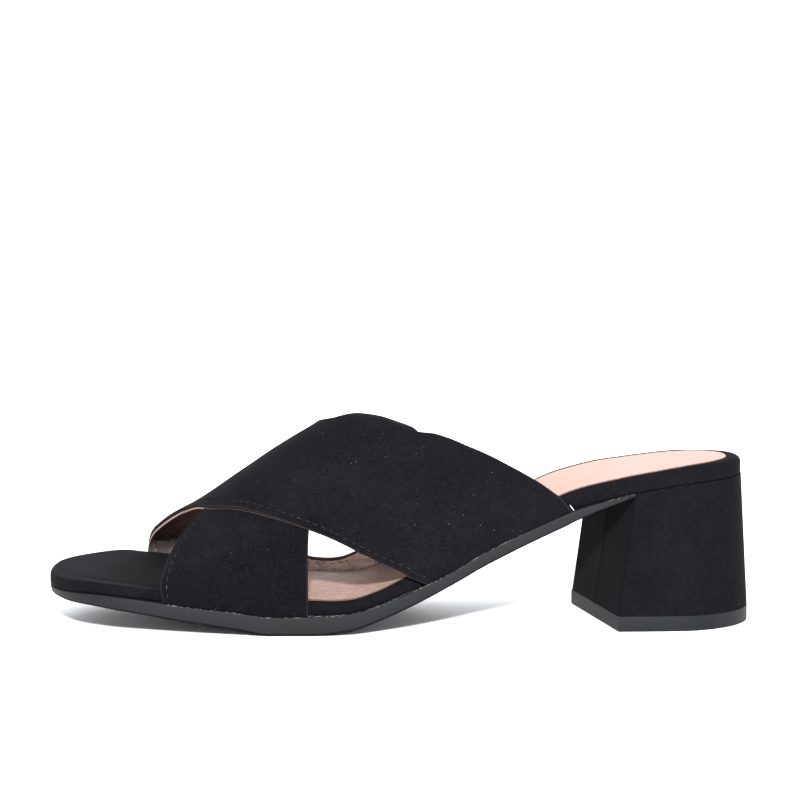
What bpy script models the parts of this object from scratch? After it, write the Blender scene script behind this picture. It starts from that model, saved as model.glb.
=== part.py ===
"""A left mule sandal: two wide suede straps crossed over a wrapped insole, on a block heel.

Frame: metres, +Z up, floor at z = 0, toe towards -X, heel towards +X, outer side of the foot
towards -Y. All sizes below are millimetres. Along the foot a place is a station, counted from
the tip of the toe. Around the foot a place is a girth: -1 at the foot of the outer side wall,
0 on the ridge of the instep and 1 at the foot of the inner side wall.
"""

from collections import namedtuple
from math import cos, pi, sin

import bmesh
import bpy
from mathutils import Vector

MM = 0.001
TOTAL_LENGTH = 239.0      # tip of the toe to the back of the top piece
LAST_LENGTH = 236.8       # tip of the toe to the back of the insole
GAP = 0.3                 # between pieces that are glued together on the real shoe

SOLE_CHAMFER = 0.5        # lower edges of the insole and the top piece
OUTSOLE_CHAMFER = 0.15    # share of the outsole's thickness that its lower edge turns under
FEATHER_LENGTH = 24.0     # stretch over which the outsole thins towards the heel breast
FEATHER_EDGE = 0.9        # what is left of its thickness there
TOE_TUCK = 0.4            # how far the outsole is set in under the insole at the toe
TOE_TUCK_LENGTH = 26.0    # stretch over which that set-in fades out
INSOLE_ROUNDING = 1.9     # radius of the wrapped top edge
TOE_ROUNDING = 3.6        # the same at the tip of the toe
TOE_FADE = 20.0           # stretch over which it fades to the former
ROUNDING_STEPS = 3
WALL = 2.0                # suede, reinforcement and lining of a strap together
STRAP_LEDGE = 0.8         # how far a strap's outer face stands in from the outsole's edge
STRAP_OVERLAP = 0.4       # how deep the straps are sunk into each other where they cross
STRAP_REACH = 22.0        # stretch over which the upper strap comes down off the lower one
SIDE_WALL = 0.9           # girth at which a strap turns down the side of the insole
SOCK_THICKNESS = 0.7
SOCK_RIM = 2.2            # suede rim left around the sock lining
SOCK_BACK_RIM = 2.6       # further rim at the back of the heel
SOCK_RIM_GROWS = 200.0    # station from which the rim widens to the back
SOCK_FRONT = 58.0         # station where the sock lining starts, hidden under the straps
TOP_PIECE = 5.1           # thickness of the heel's top piece
BREAST_STATION = 191.2    # middle of the heel breast under the insole
BREAST_SKEW = 5.5         # the breast's outer end stands this far back, its inner end forward
HEIGHT_SKEW = 0.86        # share of that shear which the heights of the sole follow
FOOT_SKEW = 5.4           # the same at the foot of the heel
SKEW_REACH = 46.0         # stretch over which the skew fades out
BREAST_LEAN = 4.6         # the breast's foot stands this far forward of its top
BREAST_CLEAR = 2.0        # no other station lies nearer to the breast than this

TOE_CAP = (34.3, 2.17)    # length and power of the rounded toe
TOE_SIDE = 0.76           # the toe's tip stands this far to the inner side
HEEL_CAP = (24.0, 2.3)    # the same for the back of the insole
HEEL_FOOT_CAP = (27.0, 1.87)
CAP_START = 0.16          # first angle of a rounded end, in radians
CAP_STEPS = 8
SIDE_START = 42.0         # stations along the sides run from here, behind the rounded toe
SIDE_END = 206.0          # to here, before the rounded back
BALL_START = 78.0         # the flat stretch under the ball, which rests on the floor
BALL_END = 92.0
WINDOW_END = 120.0        # behind the gap between the straps on the outer side

Sole = namedtuple("Sole", "station outer inner top rubber insole")
SOLE = (
    Sole(0, 32.3, 33.7, 12.3, 1.6, 6.5),
    Sole(10, 35.3, 35.8, 12.9, 3.0, 5.4),
    Sole(20, 36.8, 37.2, 13.4, 3.9, 4.8),
    Sole(28, 37.3, 38.0, 12.9, 4.4, 4.5),
    Sole(50, 37.7, 38.8, 9.8, 5.1, 4.5),
    Sole(68, 37.3, 38.3, 7.6, 5.9, 4.5),
    Sole(78, 37.0, 37.4, 6.2, 6.2, 4.6),
    Sole(92, 36.8, 35.5, 6.2, 6.2, 4.5),
    Sole(104, 36.6, 33.7, 7.2, 5.8, 3.9),
    Sole(112, 36.5, 32.5, 9.5, 5.2, 4.1),
    Sole(125, 36.3, 30.8, 14.9, 4.7, 5.0),
    Sole(138, 35.8, 29.2, 21.4, 4.2, 5.5),
    Sole(150, 35.1, 28.2, 28.7, 4.5, 5.8),
    Sole(163, 34.2, 27.7, 35.5, 4.2, 5.8),
    Sole(175, 33.2, 27.5, 41.0, 4.0, 5.8),
    Sole(190, 31.3, 27.2, 45.2, 3.9, 5.5),
    Sole(200, 30.0, 27.1, 46.8, 3.9, 5.5),
    Sole(215, 28.0, 27.0, 48.8, 3.9, 5.6),
    Sole(240, 25.6, 26.5, 50.7, 3.9, 5.8),
)
Inset = namedtuple("Inset", "station outer inner")
INSET = (                 # how far the insole stands in: most where a strap runs down it
    Inset(0, 0.3, 0.3),
    Inset(14, 0.5, 0.5),
    Inset(21, 0.8, 0.9),
    Inset(27, 1.2, 3.1),
    Inset(34, 1.6, 3.1),
    Inset(42, 3.1, 3.1),
    Inset(92, 3.1, 3.1),
    Inset(98, 2.0, 3.1),
    Inset(114, 2.0, 3.1),
    Inset(120, 3.1, 3.1),
    Inset(176, 3.1, 3.1),
    Inset(190, 1.6, 1.6),
    Inset(200, 1.0, 1.0),
    Inset(240, 1.0, 1.0),
)

Instep = namedtuple("Instep", "station ridge lean")
INSTEP = (
    Instep(25, 23.2, 3.0),
    Instep(40, 32.3, 4.0),
    Instep(46, 35.5, 4.4),
    Instep(55, 40.2, 4.8),
    Instep(67, 47.5, 5.0),
    Instep(77, 54.3, 5.0),
    Instep(88, 61.0, 5.0),
    Instep(98, 66.5, 5.0),
    Instep(105, 67.9, 4.9),
    Instep(112, 67.1, 4.7),
    Instep(120, 64.6, 4.4),
    Instep(127, 62.5, 4.1),
    Instep(140, 62.3, 3.6),
    Instep(160, 62.5, 2.9),
    Instep(185, 61.7, 2.0),
)
SECTION_POWER = 2.2       # a little fuller than an ellipse

Cut = namedtuple("Cut", "front front_girth rear rear_girth")
OVER_STRAP = (            # from the rear of the outer side to the front of the inner side
    Cut(129.0, -1.00, 176.0, -1.00),
    Cut(121.5, -0.883, 172.0, -0.89),
    Cut(107.0, -0.767, 165.5, -0.715),
    Cut(90.6, -0.665, 155.5, -0.51),
    Cut(76.2, -0.545, 143.5, -0.30),
    Cut(65.3, -0.42, 130.5, -0.125),
    Cut(57.0, -0.315, 119.0, -0.14),
    Cut(51.5, -0.19, 108.0, -0.14),
    Cut(47.6, -0.07, 99.5, -0.12),
    Cut(42.6, 0.09, 94.0, -0.04),
    Cut(36.2, 0.26, 91.3, 0.13),
    Cut(32.2, 0.42, 89.6, 0.34),
    Cut(30.0, 0.60, 86.8, 0.57),
    Cut(28.7, 0.77, 83.5, 0.76),
    Cut(28.3, 0.90, 80.0, 0.91),
    Cut(28.2, 1.00, 79.0, 1.00),
)
UNDER_STRAP = (           # from the front of the outer side to the rear of the inner side
    Cut(43.0, -1.00, 90.2, -1.00),
    Cut(42.4, -0.88, 90.2, -0.88),
    Cut(43.2, -0.755, 90.2, -0.77),
    Cut(44.8, -0.635, 90.5, -0.65),
    Cut(47.2, -0.50, 92.0, -0.52),
    Cut(51.0, -0.365, 96.0, -0.39),
    Cut(56.0, -0.24, 104.0, -0.26),
    Cut(62.0, -0.11, 115.0, -0.145),
    Cut(68.6, 0.03, 122.0, -0.03),
    Cut(76.5, 0.20, 126.0, 0.15),
    Cut(84.5, 0.38, 131.5, 0.34),
    Cut(92.5, 0.55, 139.5, 0.53),
    Cut(101.5, 0.72, 149.5, 0.71),
    Cut(111.0, 0.88, 158.0, 0.88),
    Cut(116.0, 1.00, 162.0, 1.00),
)
LOW_BAND = (              # joins the straps' feet on the inner side, front is its top edge
    Cut(76.0, 0.780, 76.0, 0.985),
    Cut(82.0, 0.830, 82.0, 0.985),
    Cut(88.0, 0.860, 88.0, 0.985),
    Cut(94.0, 0.865, 94.0, 0.985),
    Cut(98.0, 0.862, 98.0, 0.985),
    Cut(104.0, 0.845, 104.0, 0.985),
    Cut(110.0, 0.810, 110.0, 0.985),
    Cut(118.0, 0.760, 118.0, 0.985),
)
LOW_BAND_SUNK = 0.2       # the low band's faces lie this deep inside the straps' own
Grid = namedtuple("Grid", "rows columns")
STRAP_GRID = Grid(46, 11)
LOW_BAND_GRID = Grid(16, 5)

HeelFoot = namedtuple("HeelFoot", "station outer inner")
HEEL_FOOT = (             # half widths of the top piece
    HeelFoot(180, 28.6, 25.4),
    HeelFoot(200, 27.9, 25.8),
    HeelFoot(220, 26.8, 26.0),
    HeelFoot(241, 26.0, 26.0),
)
HEEL_LEVELS = 4
HEEL_SEAT_INSET = 0.8     # how far the heel's top edge stands in from the last's outline

Finish = namedtuple("Finish", "colour roughness")
SUEDE = Finish((0.018, 0.018, 0.020), 0.95)
RUBBER = Finish((0.060, 0.062, 0.068), 0.6)
SOCK_LEATHER = Finish((0.86, 0.58, 0.43), 0.55)
SHARP_ANGLE = 0.7         # edges that turn further than this, in radians, stay crisp


def remove_everything():
    for thing in list(bpy.data.objects):
        bpy.data.objects.remove(thing, do_unlink=True)


def curve(table, column, at="station"):
    """A smooth function through a table's column that never swings past the table's own values."""
    xs = [getattr(row, at) for row in table]
    ys = [getattr(row, column) for row in table]
    rises = [(ys[i + 1] - ys[i]) / (xs[i + 1] - xs[i]) for i in range(len(xs) - 1)]
    slopes = [rises[0]]
    for before, after in zip(rises, rises[1:]):
        level = before * after <= 0
        slopes.append(0.0 if level else 2 * before * after / (before + after))
    slopes.append(rises[-1])

    def value(x):
        x = min(max(x, xs[0]), xs[-1])
        i = 0
        while i < len(xs) - 2 and x > xs[i + 1]:
            i += 1
        width = xs[i + 1] - xs[i]
        t = (x - xs[i]) / width
        start = ys[i] * (1 + 2 * t) * (1 - t) ** 2 + slopes[i] * width * t * (1 - t) ** 2
        end = ys[i + 1] * t * t * (3 - 2 * t) - slopes[i + 1] * width * t * t * (1 - t)
        return start + end

    return value


outer_width = curve(SOLE, "outer")
inner_width = curve(SOLE, "inner")
sole_top = curve(SOLE, "top")
rubber_thickness = curve(SOLE, "rubber")
insole_thickness = curve(SOLE, "insole")
outer_inset = curve(INSET, "outer")
inner_inset = curve(INSET, "inner")
ridge_height = curve(INSTEP, "ridge")
ridge_side = curve(INSTEP, "lean")
heel_foot_outer = curve(HEEL_FOOT, "outer")
heel_foot_inner = curve(HEEL_FOOT, "inner")

MIDDLE_STATION = (TOTAL_LENGTH + INSET[0].outer) / 2
MIDDLE_ACROSS = (max(row.inner for row in SOLE) - max(row.outer for row in SOLE)) / 2


def smooth_step(t):
    t = min(max(t, 0.0), 1.0)
    return t * t * (3 - 2 * t)


def insole_bottom(station):
    return sole_top(station) + GAP


def insole_top(station):
    return insole_bottom(station) + insole_thickness(station)


def cap_share(distance, cap):
    """Share of the full half width at this distance from a rounded end."""
    length, power = cap
    t = min(max(distance / length, 0.0), 1.0)
    return (1 - (1 - t) ** power) ** (1 / power)


def cap_distances(cap):
    """Distances from a rounded end, closer together towards its tip."""
    length, power = cap
    angles = [CAP_START + (pi / 2 - CAP_START) * i / CAP_STEPS for i in range(CAP_STEPS + 1)]
    return [length * (1 - cos(angle) ** (2 / power)) for angle in angles]


def spread(first, last, count):
    return [first + (last - first) * i / (count - 1) for i in range(count)]


def skew(station):
    return BREAST_SKEW * max(0.0, 1 - abs(station - BREAST_STATION) / SKEW_REACH)


def height_station(point):
    """The station whose heights hold at a plan point, as they are sheared along with the plan."""
    half = outer_width(point.x) if point.y < 0 else inner_width(point.x)
    return point.x + HEIGHT_SKEW * skew(point.x) * point.y / half


def last_point(station, side):
    """Plan of the outsole, carried on to the back of the insole: side is -1 outer or 1 inner."""
    station = station - side * skew(station)
    width = outer_width(station) if side < 0 else inner_width(station)
    share = cap_share(station, TOE_CAP) * cap_share(LAST_LENGTH - station, HEEL_CAP)
    swing = TOE_SIDE * (1 - cap_share(station, TOE_CAP))
    return station, side * width * share + swing


def heel_foot_point(station, side):
    """Plan of the heel's foot."""
    share = skew(station) / BREAST_SKEW
    back = TOTAL_LENGTH - LAST_LENGTH
    travel = smooth_step((station - BREAST_STATION) / (LAST_LENGTH - BREAST_STATION))
    station = station - share * (side * FOOT_SKEW + BREAST_LEAN) + back * travel
    width = heel_foot_outer(station) if side < 0 else heel_foot_inner(station)
    return station, side * width * cap_share(TOTAL_LENGTH - station, HEEL_FOOT_CAP)


def last_stations():
    """Stations shared by every piece of the sole, so that their facets lie along each other."""
    sides = spread(SIDE_START, BALL_START, 5) + spread(BALL_START, BALL_END, 3)[1:]
    sides += spread(BALL_END, WINDOW_END, 5)[1:] + spread(WINDOW_END, SIDE_END, 13)[1:]
    back = [LAST_LENGTH - distance for distance in reversed(cap_distances(HEEL_CAP))]
    return cap_distances(TOE_CAP) + sides + back


def closed_outline(stations, point):
    """Outer side from front to back, then inner side from back to front."""
    outer = [Vector(point(station, -1)) for station in stations]
    inner = [Vector(point(station, 1)) for station in stations]
    return outer + inner[::-1]


def pulled_in(outline, inset):
    """The outline moved inwards: inset is a number or a function of the point."""
    moved = []
    count = len(outline)
    for i, here in enumerate(outline):
        before = (here - outline[i - 1]).normalized()
        after = (outline[(i + 1) % count] - here).normalized()
        inward = Vector((-before.y - after.y, before.x + after.x)).normalized()
        slant = max(0.5, inward.dot(Vector((-before.y, before.x))))
        depth = inset(here) if callable(inset) else inset
        moved.append(here + inward * depth / slant)
    return moved


def placed(station, across, height):
    """Millimetres along, across and up, as metres in the frame."""
    return Vector((station - MIDDLE_STATION, across - MIDDLE_ACROSS, height)) * MM


def finished(name, mesh_data, finish):
    """A mesh as a named object with its own material, smooth where it is round."""
    mesh = bpy.data.meshes.new(name)
    bmesh.ops.recalc_face_normals(mesh_data, faces=mesh_data.faces)
    mesh_data.to_mesh(mesh)
    mesh_data.free()
    mesh.shade_smooth()
    mesh.set_sharp_from_angle(angle=SHARP_ANGLE)
    thing = bpy.data.objects.new(name, mesh)
    bpy.context.scene.collection.objects.link(thing)
    material = bpy.data.materials.new(name)
    material.use_nodes = True
    shader = material.node_tree.nodes["Principled BSDF"]
    shader.inputs["Base Color"].default_value = (*finish.colour, 1.0)
    shader.inputs["Roughness"].default_value = finish.roughness
    shader.inputs["Metallic"].default_value = 0.0
    mesh.materials.append(material)
    return thing


def stacked(rings):
    """A closed solid through rings of equal count, each capped from side to side."""
    solid = bmesh.new()
    rings = [[solid.verts.new(point) for point in ring] for ring in rings]
    count = len(rings[0])
    for lower, upper in zip(rings, rings[1:]):
        for i in range(count):
            j = (i + 1) % count
            solid.faces.new((lower[i], lower[j], upper[j], upper[i]))
    for ring in (rings[0], rings[-1]):
        for i in range(count // 2 - 1):
            solid.faces.new((ring[i], ring[i + 1], ring[-2 - i], ring[-1 - i]))
    return solid


def rings_at(outline, levels):
    """Rings that follow the sole: levels are rows of inset and height at a plan point."""
    rings = []
    for inset, height in levels:
        rings.append([placed(p.x, p.y, height(p)) for p in pulled_in(outline, inset)])
    return rings


def insole_inset(point):
    return outer_inset(point.x) if point.y < 0 else inner_inset(point.x)


def insole_rounding(point):
    toe = 1 - smooth_step(point.x / TOE_FADE)
    return INSOLE_ROUNDING + (TOE_ROUNDING - INSOLE_ROUNDING) * toe


def rounded_top(outline, radius, top):
    """Rings that turn a top edge through a quarter circle, with a radius for each point."""
    rings = []
    for step in range(ROUNDING_STEPS + 1):
        angle = pi / 2 * step / ROUNDING_STEPS
        moved = pulled_in(outline, lambda point: radius(point) * (1 - cos(angle)))
        ring = []
        for start, point in zip(outline, moved):
            height = top(height_station(point)) - radius(start) * (1 - sin(angle))
            ring.append(placed(point.x, point.y, height))
        rings.append(ring)
    return rings


def make_outsole():
    """Rubber unit: flat under the ball, sprung at the toe, thinned out at the heel breast."""
    end = BREAST_STATION + HEEL_SEAT_INSET - GAP
    stations = [station for station in last_stations() if station < end - BREAST_CLEAR] + [end]
    slant = 2 * BREAST_SKEW / (outer_width(end) + inner_width(end))

    def thickness(point):
        to_breast = end - slant * point.y - point.x
        share = min(1.0, max(0.0, to_breast / FEATHER_LENGTH))
        full = rubber_thickness(height_station(point)) - FEATHER_EDGE
        return FEATHER_EDGE + full * share

    def underside(point):
        return sole_top(height_station(point)) - thickness(point)

    def chamfer(point):
        return OUTSOLE_CHAMFER * thickness(point)

    def tuck(point):
        return TOE_TUCK * (1 - smooth_step(point.x / TOE_TUCK_LENGTH))

    outline = pulled_in(closed_outline(stations, last_point), tuck)
    rings = rings_at(outline, (
        (chamfer, underside),
        (0.0, lambda point: underside(point) + chamfer(point)),
        (0.0, lambda point: sole_top(height_station(point))),
    ))
    return finished("outsole", stacked(rings), RUBBER)


def make_insole():
    """Suede-wrapped board: its side is set in where the straps run down over it."""
    outline = pulled_in(closed_outline(last_stations(), last_point), insole_inset)
    rings = rings_at(outline, (
        (SOLE_CHAMFER, lambda point: insole_bottom(height_station(point))),
        (0.0, lambda point: insole_bottom(height_station(point)) + SOLE_CHAMFER),
    ))
    rings += rounded_top(outline, insole_rounding, insole_top)
    return finished("insole", stacked(rings), SUEDE)


def make_sock_lining():
    """Thin leather sheet that covers the insole from under the straps to the heel."""
    stations = [station for station in last_stations() if station > SOCK_FRONT]

    def rim(point):
        back = smooth_step((point.x - SOCK_RIM_GROWS) / (LAST_LENGTH - SOCK_RIM_GROWS))
        return insole_inset(point) + SOCK_RIM + SOCK_BACK_RIM * back

    outline = pulled_in(closed_outline(stations, last_point), rim)
    rings = rings_at(outline, (
        (0.0, lambda point: insole_top(height_station(point)) + GAP),
        (0.0, lambda point: insole_top(height_station(point)) + GAP + SOCK_THICKNESS),
    ))
    return finished("sock_lining", stacked(rings), SOCK_LEATHER)


def form_point(station, girth, lift):
    """A point of the last, which the straps are pulled over, raised by a lift off its surface."""
    turn = min(abs(girth) / SIDE_WALL, 1.0) * pi / 2
    side = -1 if girth < 0 else 1
    width = outer_width(station) if girth < 0 else inner_width(station)
    lean = ridge_side(station)
    reach = width - STRAP_LEDGE - WALL + lift - side * lean
    across = lean + side * reach * sin(turn) ** (2 / SECTION_POWER)
    foot = height_station(Vector((station, across)))
    bed = insole_top(foot)
    rise = ridge_height(station) + lift - bed
    height = bed + rise * cos(turn) ** (2 / SECTION_POWER)
    wall = max(0.0, (abs(girth) - SIDE_WALL) / (1 - SIDE_WALL))
    height -= wall * (bed - insole_bottom(foot))
    return placed(station, across, height)


def edge_curves(cuts):
    """Each column of a strap's table as a smooth function of the row number."""
    Numbered = namedtuple("Numbered", "station front front_girth rear rear_girth")
    numbered = [Numbered(number, *cut) for number, cut in enumerate(cuts)]
    return [curve(numbered, column) for column in Cut._fields]


def under_strap_edges():
    """The lower strap's front and rear stations as functions of the girth."""
    front = curve(UNDER_STRAP, "front", at="front_girth")
    rear = curve(UNDER_STRAP, "rear", at="rear_girth")
    return front, rear


under_front, under_rear = under_strap_edges()


def crossing_lift(station, girth):
    """How high the upper strap rides: full over the lower strap, fading out beside it."""
    beside = max(under_front(girth) - station, station - under_rear(girth), 0.0)
    return (WALL - STRAP_OVERLAP) * smooth_step(1 - beside / STRAP_REACH)


def strap(name, cuts, grid, lift, wall=WALL):
    """A band of the last's surface between two edges, thickened outwards to the wall."""
    front, front_girth, rear, rear_girth = edge_curves(cuts)
    band = bmesh.new()
    bmesh.ops.create_grid(band, x_segments=grid.rows, y_segments=grid.columns, size=0.5)
    for vertex in band.verts:
        row = (vertex.co.x + 0.5) * (len(cuts) - 1)
        share = vertex.co.y + 0.5
        station = front(row) * (1 - share) + rear(row) * share
        girth = front_girth(row) * (1 - share) + rear_girth(row) * share
        vertex.co = form_point(station, girth, lift(station, girth))
    bmesh.ops.triangulate(band, faces=band.faces)
    thing = finished(name, band, SUEDE)
    thickness = thing.modifiers.new("wall", "SOLIDIFY")
    thickness.thickness = wall * MM
    thickness.offset = 1.0
    return thing


def join(body, name, other):
    """Unites another closed form with the body."""
    other.hide_render = True
    other.display_type = "WIRE"
    union = body.modifiers.new(name, "BOOLEAN")
    union.operation = "UNION"
    union.solver = "EXACT"
    union.object = other


def make_upper():
    """Both straps as one solid, joined where they cross and along the inner side of the sole."""
    upper = strap("upper_straps", OVER_STRAP, STRAP_GRID, crossing_lift)
    lower = strap("under_strap_form", UNDER_STRAP, STRAP_GRID, lambda station, girth: 0.0)
    join(upper, "crossing", lower)
    sunk_wall = WALL - 2 * LOW_BAND_SUNK
    low = strap(
        "low_band_form",
        LOW_BAND,
        LOW_BAND_GRID,
        lambda station, girth: LOW_BAND_SUNK,
        sunk_wall,
    )
    join(upper, "low_band", low)
    return upper


def make_heel():
    """Covered block and its rubber top piece, both flared a little to the back."""
    behind = BREAST_STATION + BREAST_CLEAR
    stations = [BREAST_STATION] + [station for station in last_stations() if station > behind]
    seat = pulled_in(closed_outline(stations, last_point), HEEL_SEAT_INSET)
    foot = closed_outline(stations, heel_foot_point)
    rings = []
    for level in range(HEEL_LEVELS):
        share = level / (HEEL_LEVELS - 1)
        ring = []
        for low, high in zip(foot, seat):
            start = placed(low.x, low.y, TOP_PIECE + GAP)
            end = placed(high.x, high.y, sole_top(height_station(high)))
            ring.append(start.lerp(end, share))
        rings.append(ring)
    block = finished("heel_block", stacked(rings), SUEDE)
    rings = rings_at(foot, (
        (SOLE_CHAMFER, lambda point: 0.0),
        (0.0, lambda point: SOLE_CHAMFER),
        (0.0, lambda point: TOP_PIECE),
    ))
    return block, finished("heel_top_piece", stacked(rings), RUBBER)


def main():
    remove_everything()
    make_outsole()
    make_insole()
    make_sock_lining()
    make_upper()
    make_heel()


main()
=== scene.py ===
# %% [markdown]
# # A left mule sandal: two suede straps crossed over a wrapped insole, on a block heel
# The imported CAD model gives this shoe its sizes: a rubber outsole, an insole board, a sock
# lining, two straps joined as one solid, a heel block and its top piece. It is loaded first and
# is never moved. Every piece made below lies in the same space, in the same frame, and only adds
# what a solid model leaves out: rolled edges, the lining inside the straps, stitches, the seam of
# the heel cover, and the finish of each surface.
#
# The toe points to -X, the heel to +X and the outer side of the foot to -Y. The floor is z = 0.

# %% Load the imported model
from collections import namedtuple
from math import cos, pi, radians, sin

import bmesh
import bpy
from mathutils import Matrix, Vector


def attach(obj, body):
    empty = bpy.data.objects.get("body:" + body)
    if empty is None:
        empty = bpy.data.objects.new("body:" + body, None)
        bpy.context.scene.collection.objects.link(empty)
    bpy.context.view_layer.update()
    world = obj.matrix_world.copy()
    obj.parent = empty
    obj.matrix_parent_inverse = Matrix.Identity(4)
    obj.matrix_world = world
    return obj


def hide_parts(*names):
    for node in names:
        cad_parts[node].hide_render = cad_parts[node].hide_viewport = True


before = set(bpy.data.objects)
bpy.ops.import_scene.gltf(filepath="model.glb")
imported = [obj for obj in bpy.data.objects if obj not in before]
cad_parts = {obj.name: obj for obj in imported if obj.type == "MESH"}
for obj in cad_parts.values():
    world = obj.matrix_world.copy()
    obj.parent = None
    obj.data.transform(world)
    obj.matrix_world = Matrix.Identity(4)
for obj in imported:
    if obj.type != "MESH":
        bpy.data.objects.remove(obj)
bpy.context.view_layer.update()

# %% [markdown]
# ## Camera
# A shoe is usually shown from its outer side with a longish lens, a little above the floor, so
# that the sole reads as a thin line and the heel keeps its shape. The camera stands square to the
# middle of the shoe, about 640 mm away, and tilts down by about four degrees.

# %% Camera
MM = 0.001
CAMERA_PLACE = (2.35, -637.45, 117.3)    # millimetres in the frame
CAMERA_TILT = 3.83                       # degrees below the horizon
CAMERA_TURN = 0.18                       # degrees to the left
LENS = 84.07
SENSOR_WIDTH = 36.0
SIGHT = 50.0                             # metres, past the far end of the floor

camera_data = bpy.data.cameras.new("camera")
camera_data.lens = LENS
camera_data.sensor_width = SENSOR_WIDTH
camera_data.clip_end = SIGHT
camera = bpy.data.objects.new("camera", camera_data)
camera.location = Vector(CAMERA_PLACE) * MM
camera.rotation_euler = (radians(90 - CAMERA_TILT), 0.0, radians(CAMERA_TURN))
bpy.context.scene.collection.objects.link(camera)
bpy.context.scene.camera = camera
print("camera", round(camera.location.length, 3), "m from the middle of the shoe")

# %% [markdown]
# ## Light
# Black suede swallows light, and the floor has to stay white behind it. So most of the light is
# one strong, rather small panel that stands behind the camera, just under thirty degrees up. Its
# shadows fall away from the viewer: they hide behind the heel, show as a dark wedge under the
# arch, and leave the far half of the sock lining in shade. A weaker glow from the white backdrop
# reaches in under the arch; it is kept out of the gloss, or it would wash out the sock lining.
# The room itself is a pale, slightly blue white that keeps the shadows open and gives them their
# tint.

# %% Light
Panel = namedtuple("Panel", "name place side power in_gloss")
PANELS = (
    Panel("key_panel", (0.03, -1.62, 0.86), 0.10, 74.0, in_gloss=True),
    Panel("backdrop_glow", (0.0, 1.40, 0.42), 1.0, 23.0, in_gloss=False),
)
ROOM = (0.955, 0.97, 1.0, 1.0)
ROOM_STRENGTH = 1.42


def add_panel(panel):
    """A square lamp that faces the shoe."""
    lamp = bpy.data.lights.new(panel.name, "AREA")
    lamp.size = panel.side
    lamp.energy = panel.power
    holder = bpy.data.objects.new(panel.name, lamp)
    holder.location = panel.place
    holder.rotation_euler = Vector(panel.place).to_track_quat("Z", "Y").to_euler()
    holder.visible_camera = False
    holder.visible_glossy = panel.in_gloss
    bpy.context.scene.collection.objects.link(holder)


for panel in PANELS:
    add_panel(panel)
world = bpy.data.worlds.new("white_studio")
world.use_nodes = True
world.node_tree.nodes["Background"].inputs["Color"].default_value = ROOM
world.node_tree.nodes["Background"].inputs["Strength"].default_value = ROOM_STRENGTH
bpy.context.scene.world = world
bpy.context.scene.view_settings.view_transform = "Standard"
print(len(PANELS), "panels in a white room")

# %% [markdown]
# ## Sums between nodes
# A material is a chain of nodes, and much of it is sums on single values: how worn, how deep, how
# light. Wiring each Math node by hand hides the sum. Here one small class wraps a socket and
# answers to +, - and *, so a sum is written as a sum.


# %% Sums between nodes
class Signal:
    """A value that runs between nodes. Arithmetic on it adds Math nodes."""

    def __init__(self, finish, socket):
        self.finish = finish
        self.socket = socket

    def sum(self, operation, first, second):
        return self.finish.node("ShaderNodeMath", {"operation": operation}, {0: first, 1: second})

    def __add__(self, other):
        return self.sum("ADD", self, other)

    def __sub__(self, other):
        return self.sum("SUBTRACT", self, other)

    def __rsub__(self, other):
        return self.sum("SUBTRACT", other, self)

    def __mul__(self, other):
        return self.sum("MULTIPLY", self, other)

    __radd__ = __add__
    __rmul__ = __mul__

    def ramp(self, low, high):
        """0 at low and 1 at high, with a soft start and end."""
        settings = {"interpolation_type": "SMOOTHSTEP"}
        limits = {"Value": self, "From Min": low, "From Max": high}
        return self.finish.node("ShaderNodeMapRange", settings, limits)


print("sums ready")

# %% [markdown]
# ## A material that is being mixed
# Every finish of this shoe starts from a Principled shader and Object coordinates, so its grain
# has the same size on every piece. One method adds any node. The others are the few steps that
# the finishes share: clouds, a mesh attribute, a place, a direction, a blend and a relief.


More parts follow.
